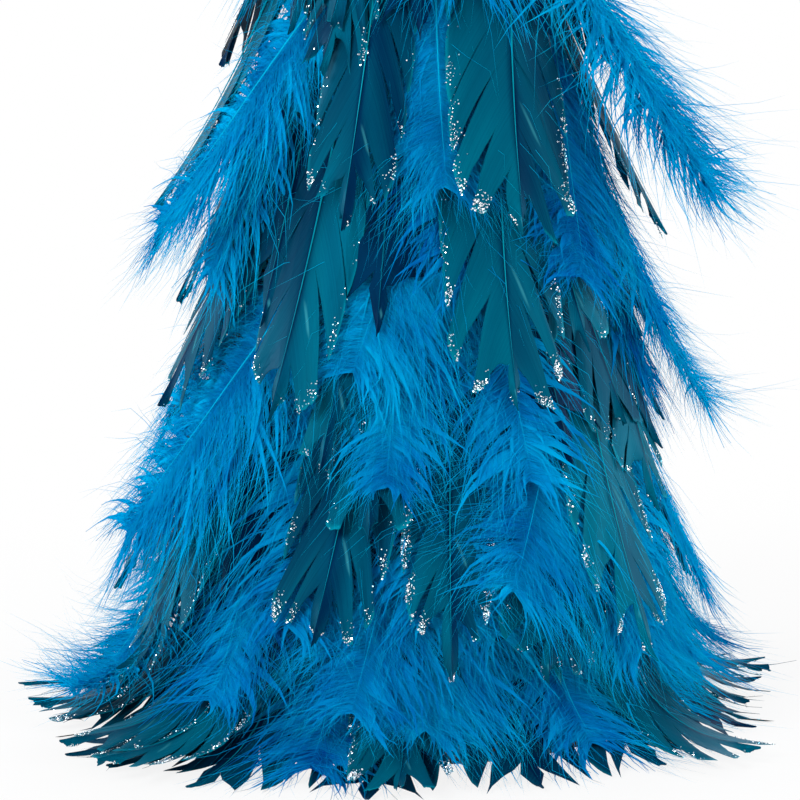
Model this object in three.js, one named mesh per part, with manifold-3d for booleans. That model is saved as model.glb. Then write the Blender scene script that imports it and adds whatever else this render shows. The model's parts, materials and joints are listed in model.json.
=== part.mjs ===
// Tabletop feather tree: a hollow kraft paper cone on a round board, clad in plumes and stiff vanes.
// Millimetres, +Z up. The origin is the centre of the board's underside; the front faces -Y.
import * as THREE from 'three';
import Module from 'manifold-3d';
import { mergeVertices } from 'three/addons/utils/BufferGeometryUtils.js';

const wasm = await Module();
wasm.setup();

// Gap that neighbouring pieces keep
const clearance = 0.3;

// Core: rolled cone, and the board that shows round its foot
const coneRadius = 63.5;
const coneTipRadius = 5.5;
const coneHeight = 377;
const coneWall = 1.5;
const boardOverhang = 1;
const boardRadius = coneRadius + boardOverhang;
const boardThickness = 2.5;
const boardRound = 0.5;
const roundSides = 30;

// Tape that carries a fringe of feathers
const tapeHeight = 5;
const tapeThickness = 0.8;
const fringeFillShare = 0.92;

// Rows of quills up the cone
const lowRowHeight = 54;
const topRowDrop = 5.8;
const rowCount = 40;

// Feather lengths: shortest on the floor rows and at the tip, longest between them
const longFeather = 118;
const tipFeather = 52;
const floorFeather = 85;
const tipTaperHeight = 150;
const floorLengthShare = 0.75;

// Feather breadth and thickness
const plumeWidth = 33;
const vaneWidth = 24;
const plumeSweepShare = 0.5;
const vaneSweepShare = 0.35;
const quillWidth = 1.6;
const quillThickness = 1.2;
const vaneThickness = 0.9;
const vaneEdge = 0.5;

// Bend of every feather away from the cone, and its sweep along the floor
const liftAngle = 11;
const bendAngle = 7;
const bendPower = 1.6;
const flarePower = 1.5;
const floorBendRadius = 42;
const floorGap = 1;
const floorLayerShare = 0.2375;
const pathSteps = 270;
const pathShare = 1.35;

// Tuft in the bore at the tip
const tuftCount = 5;
const tuftRing = 1.7;
const tuftDepth = 16;
const tuftLength = 82;
const tuftSpread = 30;
const tuftSpreadPower = 0.3;
const tuftWidth = 25;
const tuftVaneShare = 0.92;
const bindingHeight = 13;
const bindingDepth = 11;
const bindingTurns = 3;
const bindingSides = 16;
const bindingTurnRise = 0.25;

// Derived places
const degree = Math.PI / 180;
const coneFoot = boardThickness + clearance;
const coneTop = coneFoot + coneHeight;
const coneSlope = (coneRadius - coneTipRadius) / coneHeight;
const coneAngle = Math.atan(coneSlope);
const rowPitch = (coneTop - topRowDrop - lowRowHeight) / rowCount;
const quillSeat = clearance + quillThickness / 2;
const floorRest = floorGap + vaneThickness / 2;

const kraft = new THREE.MeshStandardMaterial({ color: 0x9a7148, roughness: 0.9, metalness: 0 });
const thread = new THREE.MeshStandardMaterial({ color: 0x12303c, roughness: 0.8, metalness: 0 });
const blueFeather = new THREE.MeshStandardMaterial({ color: 0x0a7cb8, roughness: 0.75, metalness: 0 });
const tealFeather = new THREE.MeshStandardMaterial({ color: 0x075f72, roughness: 0.5, metalness: 0 });

// Outlines: share of the length, then shares of the half width to the left and right of the shaft
const vaneOutlineShares = [
  [0, 0, 0], [0.12, 0, 0], [0.2, 0.5, 0.42], [0.34, 0.86, 0.74], [0.5, 1, 0.88], [0.64, 0.98, 0.9],
  [0.68, 0.96, 0.5], [0.73, 0.92, 0.86], [0.83, 0.76, 0.72], [0.92, 0.48, 0.54], [1, 0.12, 0.16],
];
const plumeOutlineShares = [
  [0, 0, 0], [0.1, 0, 0], [0.17, 0.6, 0.34], [0.27, 0.7, 0.82], [0.38, 1, 0.7], [0.49, 0.78, 1],
  [0.6, 0.98, 0.74], [0.71, 0.68, 0.92], [0.82, 0.78, 0.54], [0.91, 0.4, 0.52], [1, 0.06, 0.08],
];
const fringeVaneOutlineShares = [
  [0.015, 0, 0], [0.14, 0, 0], [0.26, 0.64, 0.56], [0.42, 0.94, 0.84], [0.58, 1, 0.9], [0.72, 0.9, 0.6],
  [0.86, 0.66, 0.7], [1, 0.1, 0.14],
];
const fringePlumeOutlineShares = [
  [0.015, 0, 0], [0.12, 0, 0], [0.26, 0.94, 0.6], [0.42, 0.76, 1], [0.57, 1, 0.74], [0.72, 0.7, 0.94],
  [0.86, 0.7, 0.5], [1, 0.06, 0.08],
];
const tuftOutlineShares = [
  [0, 0, 0], [tuftDepth / tuftLength, 0, 0], [0.25, 0, 0], [0.36, 0.5, 0.44], [0.54, 0.9, 0.86],
  [0.74, 1, 0.92], [0.88, 0.7, 0.76], [1, 0.08, 0.1],
];

// Kinds of feather: outline, width, sweep of the barbs along the shaft, and thickness at the edge
const kinds = {
  plume: { shares: plumeOutlineShares, width: plumeWidth, sweep: plumeSweepShare, edge: vaneEdge },
  vane: { shares: vaneOutlineShares, width: vaneWidth, sweep: vaneSweepShare, edge: vaneEdge },
  fringePlume: { shares: fringePlumeOutlineShares, width: plumeWidth, sweep: plumeSweepShare, edge: 0 },
  fringeVane: { shares: fringeVaneOutlineShares, width: vaneWidth, sweep: vaneSweepShare, edge: 0 },
  tuftPlume: { shares: tuftOutlineShares, width: tuftWidth, sweep: plumeSweepShare, edge: vaneEdge },
  tuftVane: { shares: tuftOutlineShares, width: tuftWidth, sweep: vaneSweepShare, edge: vaneEdge },
};

// Feathers glued on one by one: row, azimuth, lean, length share, width share, turn and flare in degrees
const plumePlaceShares = [
  [22, -27, -29, 1.19, 1.0, -10, 20], [24, 9, -4, 0.92, 1.0, 6, 0], [18, 17, -20, 0.97, 1.1, -6, 0],
  [13, -19, -30, 1.28, 1.25, -8, 12], [16, -1, -4, 1.04, 0.85, 0, 0], [11, 68, -32, 1.15, 1.28, -8, 3],
  [8, 3, -8, 1.06, 1.1, -10, 0], [4, 12, -8, 0.84, 1.0, -8, 0], [8, 62, -12, 0.94, 1.2, 4, 0],
  [24, 80, -6, 1.14, 1.1, 4, 16], [16, 92, -2, 1.0, 0.9, 4, 14], [4, -90, 22, 1.1, 0.9, -10, 4],
  [22, 86, -27, 1.1, 0.8, 0, 0], [22, 150, 10, 1.1, 1.0, 6, 14], [13, 172, -12, 1.15, 1.1, -6, 4],
  [4, 150, 8, 1.05, 1.0, 8, 0], [18, -140, -14, 1.1, 1.0, -8, 10], [31, 150, 8, 1.1, 0.8, 4, 8],
  [31, -80, -10, 1.1, 0.8, -6, 8],
];
const vanePlaceShares = [
  [27, -10, -11, 0.84, 0.9, -4, 0], [26, -14, -2, 1.15, 1.0, 0, 0], [26, 66, -24, 1.28, 1.3, 0, 0],
  [21, 44, -17, 1.13, 1.3, 4, 0], [23, 65, 16, 1.0, 0.9, 6, 4], [14, 96, -27, 1.0, 0.9, 2, 0],
  [13, 66, -18, 1.22, 1.1, 6, 0], [12, -10, -4, 1.03, 1.2, -6, 0], [12, 14, -7, 1.1, 1.0, 2, 0],
  [17, -16, -2, 0.97, 0.9, -2, 0], [24, -90, 0, 1.0, 1.0, -4, 10], [18, -53, -9, 0.97, 1.0, -6, 2],
  [12, -71, 1, 1.01, 1.0, -6, 4], [2, -57, -22, 1.12, 0.9, -10, 0], [3, -49, 8, 1.1, 1.1, -10, 0],
  [3, -21, 22, 1.02, 1.1, -6, 0], [3, 79, 18, 1.0, 0.8, 8, 6], [9, 78, -37, 1.14, 1.1, 0, 0],
  [4, -51, 0, 1.1, 1.0, -6, 0], [2, 62, -11, 1.05, 1.0, 6, 0], [23, -170, 6, 1.05, 1.0, 4, 0],
  [14, -150, 4, 1.0, 1.0, -4, 0], [2, -160, -6, 1.05, 1.0, -8, 0], [31, 35, -8, 1.1, 0.8, 4, 0],
  [37, -40, -4, 1.1, 0.7, 4, 0],
];

// Fringes from the floor up: row, number of feathers, first azimuth, and the places left bare
const fringes = [
  { row: 0, count: 13, first: 6, bare: [] },
  { row: 6, count: 12, first: 14, bare: [] },
  { row: 10, count: 12, first: 0, bare: [] },
  { row: 15, count: 11, first: 20, bare: [8, 9] },
  { row: 20, count: 10, first: 8, bare: [] },
  { row: 28, count: 8, first: 22, bare: [] },
  { row: 34, count: 6, first: 0, bare: [] },
  { row: 39, count: 5, first: 30, bare: [] },
];
// Spread among the feathers of a fringe: length share, lean and turn in degrees
const fringeSpreadShares = [
  [0.86, -2, -3], [1, 2, 3], [0.92, -3, 2], [0.98, 3, -2], [0.84, 1, 3], [1.04, -1, -2], [0.9, 3, 2],
];

// Outer radius of the cone at a height
function coneRadiusAt(height) {
  return coneRadius - (height - coneFoot) * coneSlope;
}

// Height of a row's quills above the floor
function rowHeight(row) {
  return lowRowHeight + row * rowPitch;
}

// Longest feather that a row carries
function rowLength(row) {
  const height = rowHeight(row);
  const floor = floorFeather + (height - lowRowHeight) * floorLengthShare;
  const tipShare = Math.min(1, (coneTop - height) / tipTaperHeight);
  return Math.min(longFeather, floor, tipFeather + (longFeather - tipFeather) * tipShare);
}

// The line down the middle of a row's feathers, in the plane of the axis. It leaves the cone at the
// lift angle, bends outward, and turns along the floor round a centre that all rows share.
function rowPath(row, flare) {
  const length = rowLength(row);
  const step = length * pathShare / pathSteps;
  const rise = row * rowPitch * floorLayerShare;
  const rest = floorRest + rise;
  const bend = Math.max(floorBendRadius - rise, floorBendRadius / 4);
  const start = rowHeight(row);
  const path = [{
    s: 0,
    r: coneRadiusAt(start) + quillSeat * Math.cos(coneAngle),
    z: start + quillSeat * Math.sin(coneAngle),
    tilt: coneAngle + liftAngle * degree,
  }];
  let onFloor = false;
  for (let i = 1; i <= pathSteps; i += 1) {
    const last = path[i - 1];
    const share = i * step / length;
    const curl = bendAngle * Math.min(share, 1) ** bendPower + flare * share ** flarePower;
    let tilt = coneAngle + (liftAngle + curl) * degree;
    onFloor = onFloor || last.z - rest < bend * (1 - Math.sin(last.tilt));
    if (onFloor) tilt = Math.max(last.tilt, Math.min(last.tilt + step / bend, Math.PI / 2));
    const mean = (tilt + last.tilt) / 2;
    path.push({
      s: i * step,
      r: last.r + step * Math.sin(mean),
      z: last.z - step * Math.cos(mean),
      tilt,
    });
  }
  return path;
}

// Point at a distance s along a path, straight on past its end
function pathPoint(path, s) {
  const step = path[1].s;
  const at = Math.min(Math.max(s / step, 0), path.length - 1);
  const i = Math.min(Math.floor(at), path.length - 2);
  const a = path[i];
  const b = path[i + 1];
  const share = at - i;
  const tilt = a.tilt + (b.tilt - a.tilt) * share;
  const past = s - at * step;
  return {
    r: a.r + (b.r - a.r) * share + past * Math.sin(tilt),
    z: a.z + (b.z - a.z) * share - past * Math.cos(tilt),
    tilt,
  };
}

// Point on the surface that a path sweeps round the axis: s along it, v round it, n out of it
function surfacePoint(path, s, v, n) {
  const p = pathPoint(path, s);
  const turn = v / p.r;
  const out = p.r + n * Math.cos(p.tilt);
  return new THREE.Vector3(out * Math.sin(turn), -out * Math.cos(turn), p.z + n * Math.sin(p.tilt));
}

// Closed skin over sections with the same number of points, with a fan over each end. A section has its
// middle points halfway and last, and the diagonal of each cell ends on the middle line above and below
// alike, so a twisted blade keeps its thickness.
function loft(sections) {
  const sides = sections[0].length;
  const half = sides / 2;
  const positions = sections.flat().flatMap((p) => p.toArray());
  const index = [];
  for (let i = 0; i < sections.length - 1; i += 1) {
    for (let j = 0; j < sides; j += 1) {
      const a = i * sides + j;
      const b = i * sides + (j + 1) % sides;
      const towardMiddle = (j + 1) % half === half - 1;
      if (towardMiddle) index.push(a, a + sides, b + sides, a, b + sides, b);
      else index.push(a, a + sides, b, b, a + sides, b + sides);
    }
  }
  const end = (sections.length - 1) * sides;
  for (let j = 1; j < sides - 1; j += 1) {
    index.push(0, j, j + 1);
    index.push(end, end + j + 1, end + j);
  }
  const geometry = new THREE.BufferGeometry();
  geometry.setAttribute('position', new THREE.Float32BufferAttribute(positions, 3));
  geometry.setIndex(index);
  geometry.computeVertexNormals();
  return geometry;
}

// Section of a feather: a ridged shaft in the middle and a thin or sharp edge on each side
function featherSection(path, s, v, heading, left, right, sweep, thickness, edge) {
  const place = (across, n) => {
    const along = sweep * Math.max(Math.abs(across) - quillWidth / 2, 0);
    const ds = along * Math.cos(heading) - across * Math.sin(heading);
    const dv = along * Math.sin(heading) + across * Math.cos(heading);
    return surfacePoint(path, s + ds, v + dv, n);
  };
  const ridge = place(0, thickness / 2);
  const keel = place(0, -thickness / 2);
  if (edge === 0) return [place(-left, 0), ridge, place(right, 0), keel];
  return [
    place(-left, -edge / 2), place(-left, edge / 2), ridge,
    place(right, edge / 2), place(right, -edge / 2), keel,
  ];
}

// One feather hanging at azimuth zero
function featherGeometry(kind, place) {
  const { shares, width, sweep, edge } = kind;
  const path = place.path ?? rowPath(place.row, place.flare ?? 0);
  const length = (place.length ?? rowLength(place.row)) * place.lengthShare;
  const half = width * place.widthShare / 2;
  const sections = [];
  let s = 0;
  let v = 0;
  let last = 0;
  for (const [share, left, right] of shares) {
    const heading = (place.lean + place.turn * (share + last) / 2) * degree;
    s += (share - last) * length * Math.cos(heading);
    v += (share - last) * length * Math.sin(heading);
    last = share;
    const here = (place.lean + place.turn * share) * degree;
    const shaft = Math.max(left, right) === 0;
    const least = share === 1 ? 0 : quillWidth / 2;
    const room = Math.PI * pathPoint(path, s).r / (place.neighbours ?? 1) - clearance;
    sections.push(featherSection(
      path, s, v, here,
      Math.max(Math.min(left * half, room), least),
      Math.max(Math.min(right * half, room), least),
      sweep,
      shaft ? quillThickness : vaneThickness,
      shaft ? Math.min(quillThickness / 2, edge * 2) : edge,
    ));
  }
  return loft(sections);
}

// Solid of revolution about Z from radius and height pairs that start and end on the axis
function revolve(profile, sides = roundSides) {
  const points = profile.map(([r, z]) => new THREE.Vector2(r, z));
  return new THREE.LatheGeometry(points, sides).rotateX(Math.PI / 2);
}

// Ring about Z from a profile that stays off the axis
function revolveRing(profile, sides = roundSides) {
  return revolve([...profile, profile[0]], sides);
}

// Conversions to and from solids that can be joined
function toSolid(geometry) {
  const bare = geometry.clone();
  bare.deleteAttribute('normal');
  bare.deleteAttribute('uv');
  const merged = mergeVertices(bare);
  return new wasm.Manifold(new wasm.Mesh({
    numProp: 3,
    vertProperties: new Float32Array(merged.attributes.position.array),
    triVerts: new Uint32Array(merged.index.array),
  }));
}

function fromSolid(solid) {
  const mesh = solid.getMesh();
  const geometry = new THREE.BufferGeometry();
  geometry.setAttribute('position', new THREE.BufferAttribute(mesh.vertProperties, 3));
  geometry.setIndex(new THREE.BufferAttribute(mesh.triVerts, 1));
  geometry.computeVertexNormals();
  return geometry;
}

function addPiece(parent, name, geometry, material) {
  const mesh = new THREE.Mesh(geometry, material);
  mesh.name = name;
  parent.add(mesh);
  return mesh;
}

// Round board under the cone, its rim softened top and bottom
function boardGeometry() {
  return revolve([
    [0, 0],
    [boardRadius - boardRound, 0],
    [boardRadius, boardRound],
    [boardRadius, boardThickness - boardRound],
    [boardRadius - boardRound, boardThickness],
    [0, boardThickness],
  ]);
}

// Hollow cone, open at the foot and with a round bore at the tip
function coneGeometry() {
  return revolveRing([
    [coneRadius, coneFoot],
    [coneTipRadius, coneTop],
    [coneTipRadius - coneWall, coneTop],
    [coneRadius - coneWall, coneFoot],
  ]);
}

// Tape wound round the cone at a row
function tapeGeometry(row) {
  const low = rowHeight(row) - tapeHeight / 2;
  const high = low + tapeHeight;
  const inner = clearance / Math.cos(coneAngle);
  const outer = (clearance + tapeThickness) / Math.cos(coneAngle);
  return revolveRing([
    [coneRadiusAt(low) + outer, low],
    [coneRadiusAt(high) + outer, high],
    [coneRadiusAt(high) + inner, high],
    [coneRadiusAt(low) + inner, low],
  ]);
}

// Tape with its feathers, plumes and vanes by turns
function fringeGeometry(fringe) {
  let solid = toSolid(tapeGeometry(fringe.row));
  const middle = pathPoint(rowPath(fringe.row, 0), rowLength(fringe.row) / 2);
  const spacing = 2 * Math.PI * middle.r / fringe.count;
  for (let i = 0; i < fringe.count; i += 1) {
    if (fringe.bare.includes(i)) continue;
    const kind = (i + fringe.row) % 2 === 0 ? kinds.fringePlume : kinds.fringeVane;
    const [lengthShare, lean, turn] = fringeSpreadShares[(i * 3 + fringe.row) % fringeSpreadShares.length];
    const widthShare = fringeFillShare * 2 * spacing / (plumeWidth + vaneWidth);
    const geometry = featherGeometry(kind, { row: fringe.row, lengthShare, widthShare, lean, turn });
    geometry.rotateZ((fringe.first + i * 360 / fringe.count) * degree);
    solid = solid.add(toSolid(geometry));
  }
  return fromSolid(solid);
}

// Path of the tuft's feathers: straight up out of the bore, then spreading
function tuftPath() {
  const step = tuftLength / pathSteps;
  const path = [{ s: 0, r: tuftRing, z: coneTop - tuftDepth, tilt: Math.PI }];
  for (let i = 1; i <= pathSteps; i += 1) {
    const last = path[i - 1];
    const free = Math.max(0, i * step - tuftDepth) / (tuftLength - tuftDepth);
    const tilt = Math.PI - tuftSpread * degree * free ** tuftSpreadPower;
    path.push({
      s: i * step,
      r: last.r + step * Math.sin((tilt + last.tilt) / 2),
      z: last.z - step * Math.cos((tilt + last.tilt) / 2),
      tilt,
    });
  }
  return path;
}

// Thread wound round the tuft's quills inside the bore
function bindingGeometry() {
  const inner = tuftRing + quillWidth / 2 + clearance;
  const outer = coneTipRadius - coneWall - clearance;
  const low = coneTop - bindingDepth;
  const turn = bindingHeight / bindingTurns;
  const profile = [[inner, low]];
  for (let i = 0; i < bindingTurns; i += 1) {
    profile.push([outer - bindingTurnRise, low + i * turn]);
    profile.push([outer, low + (i + 0.5) * turn]);
  }
  profile.push([outer - bindingTurnRise, low + bindingHeight], [inner, low + bindingHeight]);
  return revolveRing(profile, bindingSides);
}

const tree = new THREE.Group();
const core = new THREE.Group();
const cladding = new THREE.Group();
const tuft = new THREE.Group();
tree.add(core, cladding, tuft);

addPiece(core, 'base_board', boardGeometry(), kraft);
addPiece(core, 'cone_shell', coneGeometry(), kraft);

fringes.forEach((fringe, i) => {
  addPiece(cladding, `fringe_${i + 1}`, fringeGeometry(fringe), tealFeather);
});

// Feathers of one kind glued on by themselves, each turned to its azimuth
function addFeathers(prefix, kind, places, material) {
  places.forEach(([row, azimuth, lean, lengthShare, widthShare, turn, flare], i) => {
    const geometry = featherGeometry(kind, { row, lean, lengthShare, widthShare, turn, flare });
    const name = `${prefix}_${String(i + 1).padStart(2, '0')}`;
    addPiece(cladding, name, geometry, material).rotation.z = azimuth * degree;
  });
}
addFeathers('plume', kinds.plume, plumePlaceShares, blueFeather);
addFeathers('vane', kinds.vane, vanePlaceShares, tealFeather);

addPiece(tuft, 'tuft_binding', bindingGeometry(), thread);
for (let i = 0; i < tuftCount; i += 1) {
  const plume = i % 2 === 0;
  const geometry = featherGeometry(plume ? kinds.tuftPlume : kinds.tuftVane, {
    path: tuftPath(),
    length: tuftLength,
    lengthShare: plume ? 1 : tuftVaneShare,
    widthShare: 1,
    lean: 0,
    turn: 0,
    neighbours: tuftCount,
  });
  const mesh = addPiece(tuft, `tuft_feather_${i + 1}`, geometry, plume ? blueFeather : tealFeather);
  mesh.rotation.z = i * 2 * Math.PI / tuftCount;
}

export default tree;
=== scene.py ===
"""Feather tree for a tabletop: azure plumes and petrol vanes in tiers round a kraft paper cone.

Metres, +Z up, the front towards -Y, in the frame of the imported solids. Each feather is first laid
out flat: "down" runs along its shaft from the quill, "across" to its right and "out" away from the
cone. A guide sheet then carries every point of it to its place on the surface that its row sweeps
round the axis, so that a feather here lies where its solid lies."""
import bpy
import json
import math
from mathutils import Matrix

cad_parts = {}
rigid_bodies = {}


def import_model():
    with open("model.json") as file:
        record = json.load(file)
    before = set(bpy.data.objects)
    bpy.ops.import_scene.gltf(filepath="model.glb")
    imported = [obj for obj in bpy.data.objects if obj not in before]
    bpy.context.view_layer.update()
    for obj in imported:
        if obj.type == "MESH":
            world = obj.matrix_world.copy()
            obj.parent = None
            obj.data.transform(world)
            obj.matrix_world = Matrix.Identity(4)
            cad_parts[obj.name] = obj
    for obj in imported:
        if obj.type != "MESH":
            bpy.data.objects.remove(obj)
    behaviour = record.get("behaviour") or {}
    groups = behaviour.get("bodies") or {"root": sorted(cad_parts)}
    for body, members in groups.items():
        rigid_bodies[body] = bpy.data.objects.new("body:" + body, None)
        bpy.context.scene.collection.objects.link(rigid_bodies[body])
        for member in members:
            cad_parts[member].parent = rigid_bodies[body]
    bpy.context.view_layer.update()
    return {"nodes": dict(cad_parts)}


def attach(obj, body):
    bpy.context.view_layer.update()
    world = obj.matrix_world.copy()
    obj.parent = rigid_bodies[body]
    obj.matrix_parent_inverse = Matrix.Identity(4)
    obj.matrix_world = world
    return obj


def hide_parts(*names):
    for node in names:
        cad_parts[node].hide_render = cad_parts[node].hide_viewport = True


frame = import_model()
mm = 0.001

# Core and rows of quills, as in the solids
clearance = 0.3 * mm
cone_radius = 63.5 * mm
cone_tip_radius = 5.5 * mm
cone_foot = 2.8 * mm
cone_height = 377 * mm
cone_top = cone_foot + cone_height
cone_slope = (cone_radius - cone_tip_radius) / cone_height
cone_angle = math.atan(cone_slope)
low_row_height = 54 * mm
row_pitch = 8 * mm
tape_height = 5 * mm
tape_thickness = 0.8 * mm
quill_seat = 0.9 * mm

# Feather lengths and breadths
long_feather = 118 * mm
tip_feather = 52 * mm
floor_feather = 85 * mm
tip_taper_height = 150 * mm
floor_length_share = 0.75
plume_width = 33 * mm
vane_width = 24 * mm
fringe_fill_share = 0.92

# How far barbs reach to each side, as a share of half of their solid's breadth
plume_reach = 1.4
vane_reach = 1.08
fringe_plume_reach = 1.25
upper_plume_reach = 1.5
covert_reach = 1.3
tuft_vane_reach = 0.9

# Parts of a feather: how far they lie off its sheet, and the least height over the floor
lock_gap = 0.3 * mm
lock_thickness = 0.12 * mm
barb_gap = 0.9 * mm
plume_rib_gap = 2.2 * mm
web_gap = 0.9 * mm
vane_rib_gap = 1.5 * mm
thread_gap = 1.2 * mm
thread_radius = 0.1 * mm
thread_sag = 2 * mm
flake_gap = 0.18 * mm
floor_gap = 0.4 * mm
least_rim = 0.2 * mm

# Waves to the metre of shaft, and how far they carry a barb down, across and out
barb_waves, barb_sway = 420.0, (10 * mm, 16 * mm, 3 * mm)
thread_waves, thread_sway = 300.0, (8 * mm, 12 * mm)
rag_waves, rag_depth, lean_depth = 1900.0, 1.2 * mm, 3 * mm
ripple_waves = 70.0
glitter_waves, flakes_per_square_metre = 130.0, 6.0e6
plume_grain, vane_grain = 170.0, 100.0

# Bend of a feather away from the cone, and its sweep along the floor
lift_angle = math.radians(11)
bend_angle = math.radians(7)
bend_power = 1.6
flare_power = 1.5
floor_bend_radius = 42 * mm
floor_rest = 1.45 * mm
floor_layer_share = 0.2375
path_steps = 270
path_share = 1.35

# Tuft in the bore at the tip
tuft_count = 5
tuft_ring = 1.7 * mm
tuft_depth = 16 * mm
tuft_length = 82 * mm
tuft_spread = math.radians(30)
tuft_spread_power = 0.3
tuft_width = 25 * mm
tuft_vane_share = 0.92

# Guide sheets of plumes and of vanes: how far along the shaft and to each side they go
sheet_rows = 60
sheet_columns = 24
plume_sheet = (1.6, 52 * mm)
vane_sheet = (1.45, 30 * mm)

# Plumes: row, azimuth, lean, length share, width share, turn, flare, shade and barbs
plume_places = [
    (22, -27, -29, 1.14, 1.0, -10, 20, 0.62, 1060), (24, 9, -4, 0.92, 1.0, 6, 0, 0.5, 1060),
    (18, 17, -20, 0.97, 1.1, -6, 0, 0.72, 1120), (13, -19, -30, 1.28, 1.25, -8, 12, 0.6, 1280),
    (16, -1, -4, 1.04, 0.85, 0, 0, 0.32, 980), (11, 68, -32, 1.15, 1.28, -8, 3, 0.48, 1280),
    (8, 3, -8, 1.06, 1.1, -10, 0, 0.36, 1060), (4, 12, -8, 0.84, 1.0, -8, 0, 0.55, 980),
    (8, 62, -12, 0.94, 1.2, 4, 0, 0.66, 1120), (24, 80, -6, 1.14, 1.2, 4, 20, 0.72, 1060),
    (16, 92, -2, 1.0, 0.9, 4, 14, 0.95, 980), (4, -90, 22, 1.1, 0.9, -10, 4, 0.66, 1060),
    (22, 86, -27, 1.1, 0.8, 0, 0, 0.2, 980), (22, 150, 10, 1.1, 1.0, 6, 14, 0.6, 1060),
    (13, 172, -12, 1.15, 1.1, -6, 4, 0.5, 1120), (4, 150, 8, 1.05, 1.0, 8, 0, 0.4, 1060),
    (18, -140, -14, 1.1, 1.0, -8, 10, 0.62, 1060), (31, 150, 8, 1.1, 0.8, 4, 8, 0.5, 980),
    (31, -80, -10, 1.1, 0.8, -6, 8, 0.6, 980),
]
# Plumes fluffed up off the tree: how far their barbs stray from the shaft, how far they sag, how
# far the shaft's middle stands off, and the number and breadth of their locks
fluffing_labels = ("Fluff", "Sag", "Rise", "Locks", "Lock width")
usual_plume = (6.5 * mm, 3 * mm, 0, 340, 2.5 * mm)
fluffed_plumes = {
    1: (9 * mm, 1 * mm, 2 * mm, 340, 2.2 * mm), 4: (9 * mm, 2 * mm, 2 * mm, 340, 2.2 * mm),
    6: (9 * mm, 2 * mm, 0, 340, 2.2 * mm), 10: (22 * mm, 0, 11 * mm, 520, 1.4 * mm),
    11: (17 * mm, 0, 2 * mm, 200, 1.2 * mm), 12: (18 * mm, -3 * mm, 8 * mm, 520, 1.4 * mm),
}
# Vanes: row, azimuth, lean, length share, width share, turn, flare, shade and glitter
vane_places = [
    (27, -10, -11, 0.84, 0.9, -4, 0, 0.3, 1.8), (26, -14, -2, 1.15, 1.0, 0, 0, 0.3, 0.9),
    (26, 66, -24, 1.28, 1.3, 0, 0, 0.55, 1.7), (21, 44, -17, 1.13, 1.3, 4, 0, 0.5, 1.8),
    (23, 65, 16, 1.0, 0.9, 6, 4, 0.55, 0.7), (14, 96, -27, 1.0, 0.9, 2, 0, 0.65, 1.2),
    (13, 66, -18, 1.22, 1.1, 6, 0, 0.85, 1.8), (12, -10, -4, 1.03, 1.2, -6, 0, 0.4, 0.8),
    (12, 14, -7, 1.1, 1.0, 2, 0, 0.42, 6.0), (17, -16, -2, 0.97, 0.9, -2, 0, 0.4, 1.0),
    (24, -90, 0, 1.0, 1.0, -4, 10, 0.6, 0.5), (18, -53, -9, 0.97, 1.0, -6, 2, 0.5, 0.4),
    (12, -71, 1, 1.01, 1.0, -6, 4, 0.6, 0.9), (2, -57, -22, 1.12, 0.9, -10, 0, 0.55, 1.4),
    (3, -49, 8, 1.1, 1.1, -10, 0, 0.85, 3.0), (3, -21, 22, 1.02, 1.1, -6, 0, 0.7, 2.6),
    (3, 79, 18, 1.0, 0.8, 8, 6, 0.35, 0.8), (9, 78, -37, 1.14, 1.1, 0, 0, 0.3, 0.4),
    (4, -51, 0, 1.1, 1.0, -6, 0, 0.6, 1.6), (2, 62, -11, 1.05, 1.0, 6, 0, 0.5, 0.6),
    (23, -170, 6, 1.05, 1.0, 4, 0, 0.5, 1.0), (14, -150, 4, 1.0, 1.0, -4, 0, 0.45, 1.0),
    (2, -160, -6, 1.05, 1.0, -8, 0, 0.3, 1.0), (31, 35, -8, 1.1, 0.8, 4, 0, 0.5, 0.8),
    (37, -40, -4, 1.1, 0.7, 4, 0, 0.5, 0.8),
]
# Fringes on tape from the floor up: row, number of feathers, first azimuth, places left bare and
# places of stiff feathers
fringes = [
    (0, 13, 6, (), (3, 4, 6, 8, 10, 11)), (6, 12, 14, (), (1, 4, 6, 9)),
    (10, 12, 0, (), (1, 5, 7, 10)), (15, 11, 20, (8, 9), (1, 4, 6, 10)),
    (20, 10, 8, (), (1, 3, 5, 7, 9)), (28, 8, 22, (), (1, 3, 5, 7)), (34, 6, 0, (), (1, 3, 5)),
    (39, 5, 30, (), (0, 2, 4)),
]
# The first fringes reach the floor, and a few more are painted paler than the rest, for the light
# on the low feathers. Near the tip the plumes are broader, and from one fringe on the coverts are
# longer, so that they hide the cone
floor_fringes = 2
painted_pale_fringes = 3
first_broad_fringe = 6
first_long_fringe = 7
# Feathers that reach the floor are shorter round this azimuth, by up to this share
short_azimuth = 25
short_share = 0.2
# Spread among the feathers of a fringe: length share, lean and turn
fringe_spread = [
    (0.8, -2, -3), (1.02, 2, 3), (0.9, -3, 2), (0.98, 3, -2), (0.74, 1, 3), (1.06, -1, -2),
    (0.86, 3, 2),
]


# ---------------------------------------------------------------- surfaces that the feathers lie on
def cone_radius_at(height):
    """Outer radius of the cone at a height."""
    return cone_radius - (height - cone_foot) * cone_slope


def row_height(row):
    """Height of a row's quills above the floor."""
    return low_row_height + row * row_pitch


def row_length(row):
    """Longest feather that a row carries."""
    height = row_height(row)
    floor = floor_feather + (height - low_row_height) * floor_length_share
    tip_share = min(1, (cone_top - height) / tip_taper_height)
    return min(long_feather, floor, tip_feather + (long_feather - tip_feather) * tip_share)


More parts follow.
